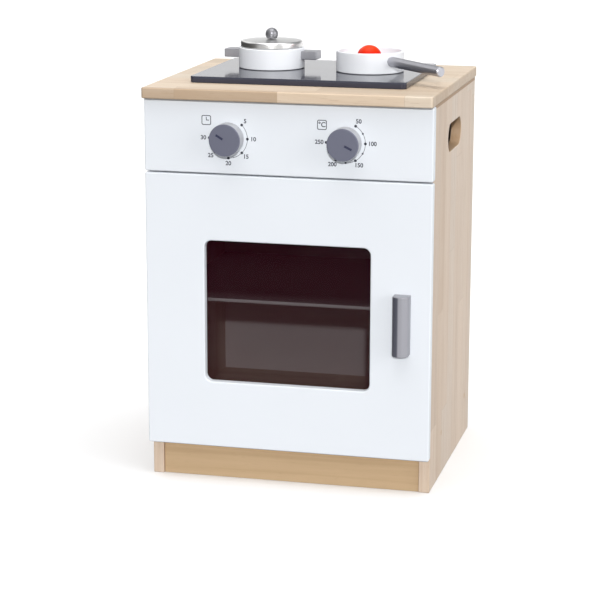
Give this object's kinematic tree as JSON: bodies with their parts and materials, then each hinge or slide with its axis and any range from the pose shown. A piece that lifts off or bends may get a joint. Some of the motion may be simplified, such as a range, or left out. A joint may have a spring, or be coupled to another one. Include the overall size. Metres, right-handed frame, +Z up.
{
  "type": "toy kitchen",
  "caption": "Small wooden play cooker with a hinged oven door and smoked window, turning dials, a hob plate, a lidded saucepan, a frying pan and a toy tomato.",
  "frame": {"origin": "on the floor, under the middle of the whole part's box", "axes": "+X to the right seen from the front, +Y to the back, +Z up; the oven door is on the -Y side"},
  "size_m": [0.4, 0.3686, 0.6159],
  "materials": {
    "oiled_wood": "pale rubberwood staves, sanded and thinly oiled",
    "white_paint": "wood or fibreboard sprayed satin white",
    "white_board": "thin fibreboard faced matt off-white",
    "grey_paint": "turned wood sprayed satin slate grey",
    "silver_paint": "wood sprayed metallic silver grey",
    "hob_lacquer": "fibreboard lacquered gloss charcoal",
    "smoked_acrylic": "clear acrylic sheet tinted dark brown",
    "steel": "bright zinc-plated steel",
    "brushed_steel": "pressed steel, lightly brushed",
    "magnet": "nickel-plated magnet",
    "tomato_red": "turned wood lacquered gloss red"
  },
  "bodies": {
    "cabinet": {"worktop": "oiled_wood", "side_panel_left": "oiled_wood", "side_panel_right": "oiled_wood", "plinth": "oiled_wood", "back_panel": "white_board", "oven_floor": "oiled_wood", "oven_ceiling": "oiled_wood", "oven_shelf": "white_board", "shelf_peg_left_front": "oiled_wood", "shelf_peg_left_back": "oiled_wood", "shelf_peg_right_front": "oiled_wood", "shelf_peg_right_back": "oiled_wood", "floor_dowel_left_front": "oiled_wood", "floor_dowel_left_back": "oiled_wood", "floor_dowel_right_front": "oiled_wood", "floor_dowel_right_back": "oiled_wood", "control_panel": "white_paint", "catch_magnet": "magnet", "hob_plate": "hob_lacquer", "hinge_lower_cabinet_leaf": "steel", "hinge_lower_pin": "steel", "hinge_lower_cabinet_screw_low": "steel", "hinge_lower_cabinet_screw_high": "steel", "hinge_upper_cabinet_leaf": "steel", "hinge_upper_pin": "steel", "hinge_upper_cabinet_screw_low": "steel", "hinge_upper_cabinet_screw_high": "steel"},
    "door": {"oven_door": "white_paint", "oven_window": "smoked_acrylic", "door_handle": "silver_paint", "door_handle_screw_lower": "steel", "door_handle_screw_upper": "steel", "catch_strike": "steel", "hinge_lower_door_leaf": "steel", "hinge_lower_door_screw_low": "steel", "hinge_lower_door_screw_high": "steel", "hinge_upper_door_leaf": "steel", "hinge_upper_door_screw_low": "steel", "hinge_upper_door_screw_high": "steel"},
    "timer_dial": {"timer_knob": "grey_paint", "timer_spindle": "oiled_wood", "timer_stop_washer": "oiled_wood", "timer_screw": "steel"},
    "oven_dial": {"oven_knob": "grey_paint", "oven_spindle": "oiled_wood", "oven_stop_washer": "oiled_wood", "oven_screw": "steel"},
    "saucepan": {"pot_body": "white_paint", "pot_handle_left": "silver_paint", "pot_handle_right": "silver_paint"},
    "saucepan_lid": {"lid_disc": "brushed_steel", "lid_knob": "silver_paint"},
    "frying_pan": {"pan_body": "white_paint", "pan_handle": "silver_paint"},
    "toy_tomato": {"tomato": "tomato_red"}
  },
  "joints": [
    {"name": "door_hinge", "type": "hinge", "parent": "cabinet", "child": "door", "pos_m": [-0.1978, -0.1474, 0.242], "axis": [0, 0, -1], "range_deg": [0, 110]},
    {"name": "timer_turn", "type": "hinge", "parent": "cabinet", "child": "timer_dial", "pos_m": [-0.081, -0.16, 0.4844], "axis": [0, 1, 0], "continuous": true},
    {"name": "oven_turn", "type": "hinge", "parent": "cabinet", "child": "oven_dial", "pos_m": [0.081, -0.16, 0.4844], "axis": [0, 1, 0], "continuous": true},
    {"name": "saucepan_lift", "type": "slide", "parent": "cabinet", "child": "saucepan", "axis": [0, 0, 1], "range_m": [0, 0.12]},
    {"name": "lid_lift", "type": "slide", "parent": "saucepan", "child": "saucepan_lid", "axis": [0, 0, 1], "range_m": [0, 0.08]},
    {"name": "frying_pan_lift", "type": "slide", "parent": "cabinet", "child": "frying_pan", "axis": [0, 0, 1], "range_m": [0, 0.12]},
    {"name": "tomato_lift", "type": "slide", "parent": "frying_pan", "child": "toy_tomato", "axis": [0, 0, 1], "range_m": [0, 0.08]}
  ]
}
